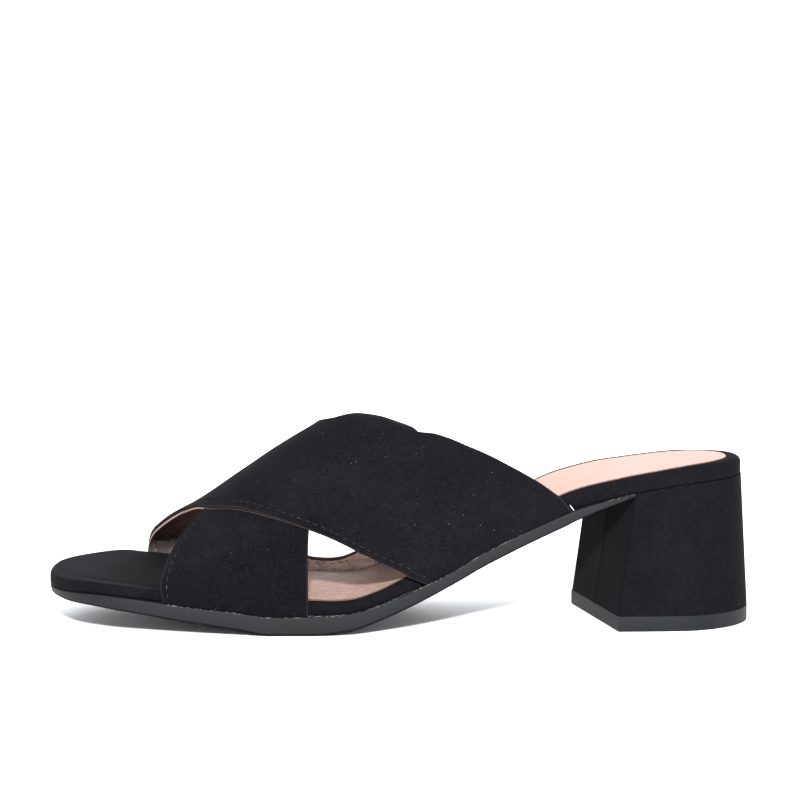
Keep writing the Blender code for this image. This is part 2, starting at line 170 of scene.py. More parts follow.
# %% A material that is being mixed
class Finish:
    """A material that is being mixed."""

    def __init__(self, name, constants):
        self.material = bpy.data.materials.new(name)
        self.material.use_nodes = True
        self.tree = self.material.node_tree
        self.shader = self.tree.nodes["Principled BSDF"]
        self.place = self.node("ShaderNodeTexCoord", output="Object")
        for socket, value in constants.items():
            self.shader.inputs[socket].default_value = value

    def node(self, kind, settings=None, inputs=None, output=0):
        """Adds one node, with its settings set before its inputs, and answers with an output."""
        made = self.tree.nodes.new(kind)
        for setting, value in (settings or {}).items():
            setattr(made, setting, value)
        for socket, value in (inputs or {}).items():
            self.feed(made.inputs[socket], value)
        return Signal(self, made.outputs[output])

    def feed(self, socket, value):
        if isinstance(value, Signal):
            self.tree.links.new(value.socket, socket)
        else:
            socket.default_value = value

    def noise(self, size, detail=3.0, stretch=(1.0, 1.0, 1.0), distortion=0.0):
        """Cloudy values around 0.5 with patches about this many millimetres across."""
        scaled = self.node("ShaderNodeMapping", None, {"Vector": self.place, "Scale": stretch})
        inputs = {"Vector": scaled, "Scale": 1 / (size * MM), "Detail": detail}
        inputs["Distortion"] = distortion
        return self.node("ShaderNodeTexNoise", None, inputs)

    def attribute(self, name):
        return self.node("ShaderNodeAttribute", {"attribute_name": name}, output="Fac")

    def along(self):
        """Millimetres from the middle of the shoe, positive towards the heel."""
        return self.node("ShaderNodeSeparateXYZ", None, {"Vector": self.place}) * (1 / MM)

    def ahead_of(self, start, end):
        """1 on the toe's side of this stretch of the shoe's length and 0 on the heel's side."""
        return 1 - self.along().ramp(start, end)

    def upward(self):
        """1 on a face that looks up, 0 on an upright one."""
        facing = self.node("ShaderNodeTexCoord", output="Normal")
        return self.node("ShaderNodeSeparateXYZ", None, {"Vector": facing}, output="Z")

    def blend(self, first, second, share):
        """One colour into another."""
        inputs = {0: share, 6: first, 7: second}
        return self.node("ShaderNodeMix", {"data_type": "RGBA"}, inputs, output=2)

    def tinted(self, colour, tint, share):
        """A colour multiplied by a tint, by this share."""
        settings = {"data_type": "RGBA", "blend_type": "MULTIPLY"}
        return self.node("ShaderNodeMix", settings, {0: share, 6: colour, 7: tint}, output=2)

    def relief(self, height, depth, below=None):
        """A bump this many millimetres deep, on top of another one if there is one."""
        inputs = {"Height": height, "Distance": depth * MM, "Strength": 1.0}
        if below is not None:
            inputs["Normal"] = below
        return self.node("ShaderNodeBump", None, inputs)

    def done(self, colour, roughness, normal=None):
        """Feeds the shader and answers with the finished material."""
        self.feed(self.shader.inputs["Base Color"], colour)
        self.feed(self.shader.inputs["Roughness"], roughness)
        if normal is not None:
            self.feed(self.shader.inputs["Normal"], normal)
        return self.material


print("finishes ready")

# %% [markdown]
# ## The suede
# Suede is leather with its flesh side out, sanded to a short nap. It has no gloss. What the eye
# reads is the nap lying one way here and another way there, which makes soft cloudy patches, a
# fine fuzz at the limit of sight, a paler bloom where the surface turns away, and the odd speck
# of lint. Sheen gives the bloom, and three sizes of noise give the rest. On top of the toe, and
# along its rounded rim, a painted highlight makes the suede paler. On the upright side of the
# front of the straps a painted shade makes it darker. A strap's cut edge, which the strap's
# "rim" attribute finds, is painted paler: partly a pale cut edge, partly a painted highlight. A
# stitch row pulls the suede down into a shallow channel, which follows the "seam" attribute: the
# distance in millimetres from that row.

# %% The suede
NAP_DARK = (0.0028, 0.0027, 0.0035, 1.0)
NAP_LIGHT = (0.0056, 0.0053, 0.0066, 1.0)
# painted shade for the upright sides at the front of the straps
NAP_PAINTED_SHADE = (0.0010, 0.0010, 0.0014, 1.0)
# pale nap for the grain specks, and the painted highlight on the toe
NAP_PALE_AND_PAINTED_HIGHLIGHT = (0.0110, 0.0105, 0.0122, 1.0)
# a pale cut edge with a painted highlight along it
NAP_CUT_AND_HIGHLIGHT = (0.0125, 0.0116, 0.0125, 1.0)
LINT = (0.045, 0.045, 0.047, 1.0)
LINT_SPACING = 3.1             # millimetres between the places that may hold a speck
LINT_ON_STRAPS = 0.35          # share of those places that hold one
LINT_ELSEWHERE = 0.08
# where the painted toe highlights, the painted front shade and the grain fade out
TOE_TOP_HIGHLIGHT_FADES = (-115.0, -85.0)    # millimetres along the shoe, where a look fades out
TOE_RIM_HIGHLIGHT_FADES = (-95.0, -68.0)
FRONT_SIDE_SHADE_FADES = (-30.0, -8.0)
GRAIN_FADES = (0.0, 50.0)


def lint_specks(finish, share):
    """1 on small round specks, one in some of the cells of a loose pattern."""
    inputs = {"Vector": finish.place, "Scale": 1 / (LINT_SPACING * MM)}
    distance = finish.node("ShaderNodeTexVoronoi", None, inputs)
    number = finish.node("ShaderNodeTexVoronoi", None, inputs, output="Color")
    kept = number.ramp(1 - share, 1 - share + 0.02)
    return (1 - distance.ramp(0.045, 0.075)) * kept


def mix_suede(name, stitched=False):
    bloom = {"Sheen Weight": 0.006, "Sheen Roughness": 0.4, "Sheen Tint": (0.8, 0.8, 0.9, 1.0)}
    finish = Finish(name, bloom | {"Specular IOR Level": 0.035})
    brushed = finish.noise(14.0, 2.0, distortion=0.6)
    mottled = finish.noise(2.2, 3.0)
    fuzz = finish.noise(0.55, 2.0)
    lightness = (brushed * 0.35 + mottled * 0.35 + fuzz * 0.55).ramp(0.42, 0.85)
    colour = finish.blend(NAP_DARK, NAP_LIGHT, lightness)
    upward = finish.upward()
    rim = upward.ramp(0.35, 0.70) * (1 - upward.ramp(0.80, 0.98))
    # painted highlight: the toe's upward faces and its rounded rim are made paler
    toe_top_highlight = finish.ahead_of(*TOE_TOP_HIGHLIGHT_FADES) * upward.ramp(0.2, 0.9)
    toe_rim_highlight = finish.ahead_of(*TOE_RIM_HIGHLIGHT_FADES) * rim
    colour = finish.blend(colour, NAP_PALE_AND_PAINTED_HIGHLIGHT, toe_top_highlight * 0.6 + toe_rim_highlight)
    if stitched:
        # painted shade: the upright faces at the front of the straps are darkened
        front_side_shade = finish.ahead_of(*FRONT_SIDE_SHADE_FADES) * (1 - upward.ramp(0.25, 0.55))
        colour = finish.blend(colour, NAP_PAINTED_SHADE, front_side_shade * 0.45)
        grain = fuzz.ramp(0.50, 0.72) * (finish.ahead_of(*GRAIN_FADES) * 0.7 + 0.3)
        colour = finish.blend(colour, NAP_PALE_AND_PAINTED_HIGHLIGHT, grain * 0.27)
    share = LINT_ON_STRAPS if stitched else LINT_ELSEWHERE
    colour = finish.blend(colour, LINT, lint_specks(finish, share))
    normal = finish.relief(fuzz + mottled * 0.4, 0.12)
    if stitched:
        # both strap edges are painted paler: a pale cut edge, and a painted highlight on it
        cut = 1 - (finish.attribute("rim") + fuzz * 0.6).ramp(0.35, 0.95)
        colour = finish.blend(colour, NAP_CUT_AND_HIGHLIGHT, cut)
        normal = finish.relief(finish.attribute("seam").ramp(0.0, 1.1), 0.30, normal)
    return finish.done(colour, fuzz * 0.15 + 0.85, normal)


suede = mix_suede("suede")
strap_suede = mix_suede("strap_suede", stitched=True)
print("mixed", suede.name, "and", strap_suede.name)

# %% [markdown]
# ## The leathers inside
# The sock lining is a soft peach leather. Its face has a fine grain and a few long creases along
# the foot. Under the straps it is rubbed and spotted, and those darker spots also paint in the
# shade that falls there. Its cut edge is dark and a little ragged. The straps are lined with a
# pinkish brown leather whose raw edge shows as a thin pale line, and which is wrinkled, and made
# darker towards the sole with painted shade. In both, the "edge" attribute tells the material
# how close it is to the cut.

# %% The leathers inside
PEACH = (0.410, 0.270, 0.227, 1.0)
PEACH_DEEP = (0.360, 0.230, 0.190, 1.0)
PEACH_RUBBED_AND_SHADED = (0.60, 0.55, 0.53, 1.0)    # what the colour is multiplied by in spots under the straps: rubbing, and painted shade
PEACH_CUT = (0.10, 0.05, 0.035, 1.0)
# the sock's peach, painted much paler as light on the shaded low band
PEACH_PAINTED_LIT = (0.95, 0.72, 0.64, 1.0)
WEAR_AND_SHADE_FADES = (-10.0, 40.0)                # millimetres along the shoe
LINING = (0.20, 0.115, 0.10, 1.0)
LINING_DEEP = (0.14, 0.075, 0.065, 1.0)
# painted shade for the lining near the sole
LINING_PAINTED_SHADE = (0.022, 0.017, 0.016, 1.0)
LINING_CUT = (0.31, 0.20, 0.175, 1.0)
LOW_SHADE_FADES = (24.0, 34.0)                 # millimetres above the floor


def mix_sock_leather(name, pale, deep):
    finish = Finish(name, {"Specular IOR Level": 0.35})
    clouds = finish.noise(22.0, 2.0)
    grain = finish.noise(0.8, 4.0)
    creases = finish.noise(5.0, 3.0, stretch=(0.25, 1.0, 1.0), distortion=1.2)
    wear_and_painted_light = finish.ahead_of(*WEAR_AND_SHADE_FADES)
    tone = (clouds * 0.5 + grain * 0.3 + creases * 0.3).ramp(0.35, 0.75)
    colour = finish.blend(deep, pale, tone)
    spots = finish.noise(1.6, 5.0, stretch=(0.6, 1.0, 1.0), distortion=0.8).ramp(0.42, 0.72)
    # spots under the straps: partly rubbed wear, partly painted shade
    colour = finish.tinted(colour, PEACH_RUBBED_AND_SHADED, spots * wear_and_painted_light)
    frayed = finish.attribute("edge") + (finish.noise(0.9, 3.0) - 0.5) * 0.35
    colour = finish.blend(PEACH_CUT, colour, frayed.ramp(0.78, 0.86))
    normal = finish.relief(creases * (wear_and_painted_light * 1.5 + 0.5), 0.45)
    normal = finish.relief(grain, 0.08, normal)
    return finish.done(colour, grain * 0.2 + 0.5, normal)


def mix_lining_leather():
    finish = Finish("lining_leather", {"Specular IOR Level": 0.35})
    clouds = finish.noise(12.0, 3.0)
    grain = finish.noise(0.7, 3.0)
    colour = finish.blend(LINING_DEEP, LINING, (clouds * 0.6 + grain * 0.4).ramp(0.35, 0.65))
    wrinkles = finish.noise(2.4, 3.0, distortion=1.5)
    height = finish.node("ShaderNodeSeparateXYZ", None, {"Vector": finish.place}, output="Z")
    # darker towards the sole: painted shade, mottled by the wrinkles
    low_shade = 1 - (height * (1 / MM) + wrinkles * 8.0).ramp(*LOW_SHADE_FADES)
    colour = finish.blend(colour, LINING_PAINTED_SHADE, low_shade * (1 - wrinkles.ramp(0.5, 0.7) * 0.5))
    colour = finish.blend(LINING_CUT, colour, (finish.attribute("edge") + grain * 0.3).ramp(0.15, 0.45))
    normal = finish.relief(wrinkles, 0.25)
    normal = finish.relief(grain, 0.06, normal)
    return finish.done(colour, grain * 0.2 + 0.6, normal)


sock_leather = mix_sock_leather("sock_leather", PEACH, PEACH_DEEP)
# a paler copy of the sock leather: painted light for the shaded low band
band_leather_painted_lit = mix_sock_leather("band_leather_painted_lit", PEACH_PAINTED_LIT, PEACH_PAINTED_LIT)
lining_leather = mix_lining_leather()
print("mixed", sock_leather.name, band_leather_painted_lit.name, "and", lining_leather.name)

# %% [markdown]
# ## The rubber
# The outsole and the heel's top piece are the same dark grey moulded rubber: satin and faintly
# speckled. Where the outsole meets the upper, a worker has wiped off the surplus cement, and a
# broken pale line is left. The "edge" attribute is 1 along that line. Where the rubber is turned
# under it is dull, because it is sanded and walked on.

# %% The rubber
RUBBER_DARK = (0.0032, 0.0034, 0.0043, 1.0)
RUBBER_LIGHT = (0.0060, 0.0063, 0.0077, 1.0)
WALKED_DARK = (0.0045, 0.0047, 0.0053, 1.0)
WALKED_LIGHT = (0.0085, 0.0090, 0.0100, 1.0)
CEMENT = (0.22, 0.22, 0.22, 1.0)
CEMENT_STARTS = (-78.0, -72.0)            # millimetres along the shoe
CEMENT_STOPS = (38.0, 42.0)
CEMENT_RETURNS = (67.0, 71.0)


def mix_rubber():
    finish = Finish("rubber", {"Specular IOR Level": 0.2})
    clouds = finish.noise(18.0, 3.0, stretch=(0.4, 1.0, 1.0))
    speckle = finish.noise(0.6, 3.0)
    colour = finish.blend(RUBBER_DARK, RUBBER_LIGHT, (clouds * 0.6 + speckle * 0.4).ramp(0.35, 0.65))
    place = finish.along()
    present = place.ramp(*CEMENT_STARTS) * finish.ahead_of(*CEMENT_STOPS) + place.ramp(*CEMENT_RETURNS)
    broken = (finish.noise(9.0, 4.0) * 0.55 + finish.noise(1.1, 3.0) * 0.65).ramp(0.58, 0.74)
    line = finish.attribute("edge").ramp(0.6, 0.9) * broken * present
    colour = finish.blend(colour, CEMENT, line)
    normal = finish.relief(speckle, 0.05)
    return finish.done(colour, speckle * 0.2 + 0.5, normal)


def mix_rubber_underside():
    finish = Finish("rubber_underside", {"Specular IOR Level": 0.02})
    return finish.done(finish.blend(WALKED_DARK, WALKED_LIGHT, finish.noise(1.5)), 0.9)


rubber = mix_rubber()
rubber_underside = mix_rubber_underside()
print("mixed", rubber.name, "and", rubber_underside.name)

# %% [markdown]
# ## The last
# A shoe is built round a last, the solid form of a foot. Everything follows two short tables:
# the plan and height of the sole at a few stations along the foot, and the ridge of the instep.
# They are the ones that the CAD source uses. A third table says how far the insole's side stands
# in from the outsole's. A place along the foot is a station, in millimetres from the tip of the
# toe. A place around the foot is a girth: -1 at the foot of the outer side wall, 0 on the ridge,
# 1 at the foot of the inner side wall.

# %% The last
TOTAL_LENGTH = 239.0
LAST_LENGTH = 236.8
Sole = namedtuple("Sole", "station outer inner top rubber insole")
SOLE = (
    Sole(0, 32.3, 33.7, 12.3, 1.6, 6.5),
    Sole(10, 35.3, 35.8, 12.9, 3.0, 5.4),
    Sole(20, 36.8, 37.2, 13.4, 3.9, 4.8),
    Sole(28, 37.3, 38.0, 12.9, 4.4, 4.5),
    Sole(50, 37.7, 38.8, 9.8, 5.1, 4.5),
    Sole(68, 37.3, 38.3, 7.6, 5.9, 4.5),
    Sole(78, 37.0, 37.4, 6.2, 6.2, 4.6),
    Sole(92, 36.8, 35.5, 6.2, 6.2, 4.5),
    Sole(104, 36.6, 33.7, 7.2, 5.8, 3.9),
    Sole(112, 36.5, 32.5, 9.5, 5.2, 4.1),
    Sole(125, 36.3, 30.8, 14.9, 4.7, 5.0),
    Sole(138, 35.8, 29.2, 21.4, 4.2, 5.5),
    Sole(150, 35.1, 28.2, 28.7, 4.5, 5.8),
    Sole(163, 34.2, 27.7, 35.5, 4.2, 5.8),
    Sole(175, 33.2, 27.5, 41.0, 4.0, 5.8),
    Sole(190, 31.3, 27.2, 45.2, 3.9, 5.5),
    Sole(200, 30.0, 27.1, 46.8, 3.9, 5.5),
    Sole(215, 28.0, 27.0, 48.8, 3.9, 5.6),
    Sole(240, 25.6, 26.5, 50.7, 3.9, 5.8),
)
Inset = namedtuple("Inset", "station outer inner")
INSET = (
    Inset(0, 0.3, 0.3),
    Inset(14, 0.5, 0.5),
    Inset(21, 0.8, 0.9),
    Inset(27, 1.2, 3.1),
    Inset(34, 1.6, 3.1),
    Inset(42, 3.1, 3.1),
    Inset(92, 3.1, 3.1),
    Inset(98, 2.0, 3.1),
    Inset(114, 2.0, 3.1),
    Inset(120, 3.1, 3.1),
    Inset(176, 3.1, 3.1),
    Inset(190, 1.6, 1.6),
    Inset(200, 1.0, 1.0),
    Inset(240, 1.0, 1.0),
)
Instep = namedtuple("Instep", "station ridge lean")
INSTEP = (
    Instep(25, 23.2, 3.0),
    Instep(40, 32.3, 4.0),
    Instep(46, 35.5, 4.4),
    Instep(55, 40.2, 4.8),
    Instep(67, 47.5, 5.0),
    Instep(77, 54.3, 5.0),
    Instep(88, 61.0, 5.0),
    Instep(98, 66.5, 5.0),
    Instep(105, 67.9, 4.9),
    Instep(112, 67.1, 4.7),
    Instep(120, 64.6, 4.4),
    Instep(127, 62.5, 4.1),
    Instep(140, 62.3, 3.6),
    Instep(160, 62.5, 2.9),
    Instep(185, 61.7, 2.0),
)
print("the last is", LAST_LENGTH, "mm long, from", len(SOLE), "stations")

# %% [markdown]
# ## Smooth curves through the tables
# Between two stations a size has to change smoothly, and it must not swing past the table's own
# values, or a flat stretch would get a bulge. So each stretch is a cubic, and its slope at a
# station is the harmonic mean of the rises before and after it, or level where they disagree.


# %% Smooth curves through the tables
def curve(table, column, at="station"):
    """A smooth function through a table's column."""
    xs = [getattr(row, at) for row in table]
    ys = [getattr(row, column) for row in table]
    rises = [(ys[i + 1] - ys[i]) / (xs[i + 1] - xs[i]) for i in range(len(xs) - 1)]
    slopes = [rises[0]]
    for before, after in zip(rises, rises[1:]):
        level = before * after <= 0
        slopes.append(0.0 if level else 2 * before * after / (before + after))
    slopes.append(rises[-1])

    def value(x):
        x = min(max(x, xs[0]), xs[-1])
        i = 0
        while i < len(xs) - 2 and x > xs[i + 1]:
            i += 1
        width = xs[i + 1] - xs[i]
        t = (x - xs[i]) / width
        start = ys[i] * (1 + 2 * t) * (1 - t) ** 2 + slopes[i] * width * t * (1 - t) ** 2
        end = ys[i + 1] * t * t * (3 - 2 * t) - slopes[i + 1] * width * t * t * (1 - t)
        return start + end

    return value


outer_width = curve(SOLE, "outer")
inner_width = curve(SOLE, "inner")
sole_top = curve(SOLE, "top")
rubber_thickness = curve(SOLE, "rubber")
insole_thickness = curve(SOLE, "insole")
outer_inset = curve(INSET, "outer")
inner_inset = curve(INSET, "inner")
ridge_height = curve(INSTEP, "ridge")
ridge_side = curve(INSTEP, "lean")
print("half widths at the ball:", round(outer_width(80), 1), "and", round(inner_width(80), 1))

# %% [markdown]
# ## The plan of the sole
# Seen from above, the two sides are the table's half widths, and each end is rounded with a
# superellipse: fuller than a circle, squarer than an ellipse. Towards the heel breast the plan is
# sheared a little, because the breast doesn't run square across the shoe, and the heights of the
# sole are sheared with it.

# %% The plan of the sole
BREAST_STATION = 191.2     # middle of the heel breast
BREAST_SKEW = 5.5          # its outer end stands this far back, its inner end forward
SKEW_REACH = 46.0          # stretch over which the shear fades out
HEIGHT_SKEW = 0.86         # share of the shear that the heights follow
TOE_CAP = (34.3, 2.17)     # length and power of the superellipse
HEEL_CAP = (24.0, 2.3)
TOE_SIDE = 0.76            # the toe's tip stands this far to the inner side
CAP_START = 0.05           # first angle of a rounded end, in radians
CAP_STEPS = 26
SIDE_START = 42.0
SIDE_END = 206.0
SIDE_STEPS = 110


def smooth_step(t):
    t = min(max(t, 0.0), 1.0)
    return t * t * (3 - 2 * t)


def spread(first, last, count):
    return [first + (last - first) * i / (count - 1) for i in range(count)]


def cap_share(distance, cap):
    """Share of the full half width at this distance from a rounded end."""
    length, power = cap
    t = min(max(distance / length, 0.0), 1.0)
    return (1 - (1 - t) ** power) ** (1 / power)


def cap_distances(cap):
    """Distances from a rounded end, closer together towards its tip."""
    length, power = cap
    angles = spread(CAP_START, pi / 2, CAP_STEPS)
    return [length * (1 - max(cos(angle), 0.0) ** (2 / power)) for angle in angles]


def skew(station):
    return BREAST_SKEW * max(0.0, 1 - abs(station - BREAST_STATION) / SKEW_REACH)


def height_station(point):
    """The station whose heights hold at a plan point."""
    half = outer_width(point.x) if point.y < 0 else inner_width(point.x)
    return point.x + HEIGHT_SKEW * skew(point.x) * point.y / half


def last_point(station, side):
    """Plan of the sole: side is -1 on the outer side of the foot and 1 on the inner side."""
    station = station - side * skew(station)
    width = outer_width(station) if side < 0 else inner_width(station)
    share = cap_share(station, TOE_CAP) * cap_share(LAST_LENGTH - station, HEEL_CAP)
    swing = TOE_SIDE * (1 - cap_share(station, TOE_CAP))
    return station, side * width * share + swing


def last_stations():
    back = [LAST_LENGTH - distance for distance in reversed(cap_distances(HEEL_CAP))]
    return cap_distances(TOE_CAP) + spread(SIDE_START, SIDE_END, SIDE_STEPS) + back


print("width at the ball:", round(last_point(80, 1)[1] - last_point(80, -1)[1], 1), "mm")

# %% [markdown]
# ## Outlines
# An outline is a closed ring of plan points: back along the outer side and forward again along
# the inner side. An edge that stands in from another, such as the insole's from the outsole's, is
# the same outline moved inwards, so that both stay parallel.

# %% Outlines
MIDDLE_STATION = (TOTAL_LENGTH + INSET[0].outer) / 2
MIDDLE_ACROSS = (max(row.inner for row in SOLE) - max(row.outer for row in SOLE)) / 2


def closed_outline(stations, point):
    """Outer side from front to back, then inner side from back to front."""
    outer = [Vector(point(station, -1)) for station in stations]
    inner = [Vector(point(station, 1)) for station in stations]
    return outer + inner[::-1]


def pulled_in(outline, inset):
    """The outline moved inwards: inset is a number or a function of the point."""
    moved = []
    count = len(outline)
    for i, here in enumerate(outline):
        before = (here - outline[i - 1]).normalized()
        after = (outline[(i + 1) % count] - here).normalized()
        inward = Vector((-before.y - after.y, before.x + after.x)).normalized()
        slant = max(0.5, inward.dot(Vector((-before.y, before.x))))
        depth = inset(here) if callable(inset) else inset
        moved.append(here + inward * depth / slant)
    return moved


def placed(station, across, height):
    """Millimetres along, across and up, as metres in the frame."""
    return Vector((station - MIDDLE_STATION, across - MIDDLE_ACROSS, height)) * MM


plan = closed_outline(last_stations(), last_point)
print("the plan has", len(plan), "points")

# %% [markdown]
# ## Adding a piece to the frame
# Every mesh below is finished in the same way: smooth shading with crisp edges past a set angle,
# and one material. Then the frame is told what it is: it rides on the shoe's only body, and it may
# stand for a solid of the imported model, which is then hidden.

# %% Adding a piece to the frame
SHARP = radians(40)


def link(name, mesh_data, material, slot, *nodes):
    """A finished mesh as a piece that rides on the shoe and stands for these CAD nodes."""
    mesh = bpy.data.meshes.new(name)
    mesh_data.to_mesh(mesh)
    mesh_data.free()
    mesh.shade_smooth()
    mesh.set_sharp_from_angle(angle=SHARP)
    mesh.materials.append(material)
    piece = bpy.data.objects.new(name, mesh)
    bpy.context.scene.collection.objects.link(piece)
    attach(piece, "root")
    if nodes:
        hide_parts(*nodes)
    print(name, "has", len(mesh.polygons), "faces")
    return piece


print("edges stay crisp past", round(SHARP, 2), "radians")

# %% [markdown]
# ## Skins drawn out through rings
# Outsole, insole, sock lining and top piece are all slabs with a rounded rim. Each could be a
# flat shape that is extruded and bevelled, but the slabs bend with the foot, and a bevel breaks
# where the toe's edges get shorter than its width. So each is drawn out as a skin: a circle of
# vertices is laid on a first ring and extruded to the next ring, again and again. A ring also
# carries a number, which becomes the "edge" attribute that the finishes read.

# %% Skins drawn out through rings
Ring = namedtuple("Ring", "points edge")


def drawn_out(rings):
    """A closed skin through rings with equal numbers of points."""
    skin = bmesh.new()
    edge = skin.verts.layers.float.new("edge")
    bmesh.ops.create_circle(skin, segments=len(rings[0].points), radius=1.0)
    loop = list(skin.verts)
    rim = list(skin.edges)
    for number, ring in enumerate(rings):
        if number:
            made = bmesh.ops.extrude_edge_only(skin, edges=rim)["geom"]
            fresh = {item for item in made if isinstance(item, bmesh.types.BMVert)}
            pairs = [[e.other_vert(v) for e in v.link_edges] for v in loop]
            loop = [next(v for v in others if v in fresh) for others in pairs]
            rim = [e for e in made if isinstance(e, bmesh.types.BMEdge) and set(e.verts) <= fresh]
        for vertex, point in zip(loop, ring.points):
            vertex.co = point
            vertex[edge] = ring.edge
    bmesh.ops.remove_doubles(skin, verts=skin.verts, dist=0.002 * MM)
    bmesh.ops.dissolve_degenerate(skin, edges=skin.edges, dist=0.001 * MM)
    bmesh.ops.recalc_face_normals(skin, faces=skin.faces)
    return skin


def drawn_in(outline, share):
    """The outline drawn towards its own middle line, and onto it where share is 1."""
    return [here.lerp((here + there) / 2, share) for here, there in zip(outline, outline[::-1])]


def on_surface(outline, surface, edge=0.0):
    """A ring that lies on a surface."""
    return Ring([placed(p.x, p.y, surface(p)) for p in outline], edge)


print("a ring holds", " and ".join(Ring._fields))

# %% [markdown]
# ## Slabs
# A slab's rings run out along the underside from the middle line, up the side, over the rounded
# rim and in to the middle line again, where both sides are welded. Its two faces and its two radii
# may be functions of the place, so one slab can be thin at the breast and thick under the ball.

# %% Slabs
RIM_STEPS = 6
FACE_STEPS = 8


def turned_rim(outline, surface, radius, side, marks):
    """Rings that turn from a slab's side to its top (side 1) or to its underside (side -1)."""
    rings = []
    for step in range(RIM_STEPS + 1):
        angle = pi / 2 * step / RIM_STEPS
        moved = pulled_in(outline, lambda p: radius(p) * (1 - cos(angle)))
        edge = marks[0] + (marks[1] - marks[0]) * step / RIM_STEPS
        points = []
        for start, p in zip(outline, moved):
            drop = side * radius(start) * (1 - sin(angle))
            points.append(placed(p.x, p.y, surface(p) - drop))
        rings.append(Ring(points, edge))
    return rings


def always(value):
    """A function of a point that is the same everywhere."""
    return lambda point: value


def slab(outline, top, underside, top_radius, low_radius, undercut=0.0, marks=(0.0, 0.0, 0.0)):
    """A slab between two surfaces. marks are the edge values on its side, rim and face."""
    low_outline = pulled_in(outline, undercut)
    low_face = pulled_in(low_outline, low_radius)
    high_face = pulled_in(outline, top_radius)
    shares = spread(0.0, 1.0, FACE_STEPS + 1)[1:]
    rings = [on_surface(drawn_in(low_face, share), underside) for share in reversed(shares)]
    rings += turned_rim(low_outline, underside, low_radius, -1, (0.0, 0.0))[::-1]
    rings += turned_rim(outline, top, top_radius, 1, marks[:2])
    rings += [on_surface(drawn_in(high_face, share), top, edge=marks[2]) for share in shares]
    return drawn_out(rings)


print("a slab has", 2 * (FACE_STEPS + RIM_STEPS + 1), "rings")

# %% [markdown]
# ## Outsole
# A moulded rubber unit lies flat under the ball of the foot, springs up at the toe, climbs the
# arch and thins out to an edge where the heel begins. Its side leans in a little towards the
# floor, and its top edge is the ledge that the straps and the insole stand on. Cement is left
# along that ledge, so the ring there carries the mark for it.

# %% Outsole
GAP = 0.3                   # what the CAD leaves between pieces that are glued together
FEATHER_LENGTH = 24.0       # stretch over which the outsole thins towards the breast
FEATHER_EDGE = 0.9          # what is left of its thickness there
OUTSOLE_ROUNDING = 0.21     # of its lower edge, as a share of the outsole's thickness
OUTSOLE_UNDERCUT = 0.2      # how far its side leans in
OUTSOLE_RIM = 0.25
TURNED_UNDER = -0.25        # a face that looks further down than this has the dull finish
TOE_TUCK = 0.4              # how far it is set in under the insole at the toe
TOE_TUCK_LENGTH = 26.0
HEEL_SEAT_INSET = 0.8       # how far the heel stands in from the insole
OUTSOLE_END = BREAST_STATION + HEEL_SEAT_INSET - GAP
BREAST_SLANT = 2 * BREAST_SKEW / (outer_width(OUTSOLE_END) + inner_width(OUTSOLE_END))


def outsole_thickness(point):
    to_breast = OUTSOLE_END - BREAST_SLANT * point.y - point.x
    share = min(1.0, max(0.0, to_breast / FEATHER_LENGTH))
    full = rubber_thickness(height_station(point)) - FEATHER_EDGE
    return FEATHER_EDGE + full * share


def outsole_underside(point):
    return sole_top(height_station(point)) - outsole_thickness(point)


def toe_tuck(point):
    return TOE_TUCK * (1 - smooth_step(point.x / TOE_TUCK_LENGTH))


def make_outsole():
    stations = [station for station in last_stations() if station < OUTSOLE_END] + [OUTSOLE_END]
    outline = pulled_in(closed_outline(stations, last_point), toe_tuck)
    skin = slab(
        outline,
        lambda p: sole_top(height_station(p)),
        outsole_underside,
        top_radius=always(OUTSOLE_RIM),
        low_radius=lambda p: OUTSOLE_ROUNDING * outsole_thickness(p),
        undercut=OUTSOLE_UNDERCUT,
        marks=(0.4, 1.0, 1.0),
    )
    piece = link("rubber_outsole", skin, rubber, "sole_rubber", "outsole")
    piece.data.materials.append(rubber_underside)
    for face in piece.data.polygons:
        face.material_index = int(face.normal.z < TURNED_UNDER)
    return piece


outsole = make_outsole()

# %% [markdown]
# ## Insole
# The board under the foot is wrapped in the same suede as the straps. The wrap rounds its top
# edge with a radius of nearly two millimetres and is turned under at the bottom, which leaves a
# dark groove above the heel. In front of the straps it is the visible toe of the shoe.

# %% Insole
LIFTED = 0.02               # keeps a piece's underside off the face that it lies on
INSOLE_ROUNDING = 1.9
TOE_ROUNDING = 3.6          # the same at the tip of the toe
TOE_FADE = 20.0             # stretch over which it fades to the former
WRAP_TURN = 0.9             # radius of the lower edge
RIM_SWELL = 0.3             # how far the wrap swells along the inner rim at the heel
SWELL_FROM = 0.89           # share of the half width where it starts
SWELL_RISE = 0.03           # and over which it rises
SWELL_STATION = 150.0
SWELL_GROWS = 25.0


def insole_top(station):
    return sole_top(station) + GAP + insole_thickness(station)


def insole_inset(point):
    return outer_inset(point.x) if point.y < 0 else inner_inset(point.x)


def insole_rounding(point):
    toe = 1 - smooth_step(point.x / TOE_FADE)
    return INSOLE_ROUNDING + (TOE_ROUNDING - INSOLE_ROUNDING) * toe


def padded(point):
    """Height of the swollen rim at a plan point."""
    across = point.y / (inner_width(point.x) - inner_inset(point.x))
    swell = RIM_SWELL * smooth_step((across - SWELL_FROM) / SWELL_RISE)
    return swell * smooth_step((point.x - SWELL_STATION) / SWELL_GROWS)


def make_insole():
    skin = slab(
        pulled_in(plan, insole_inset),
        lambda p: insole_top(height_station(p)) + padded(p),
        lambda p: sole_top(height_station(p)) + LIFTED,
        top_radius=insole_rounding,
        low_radius=always(WRAP_TURN),
    )
    return link("wrapped_insole", skin, suede, "suede", "insole")


insole = make_insole()

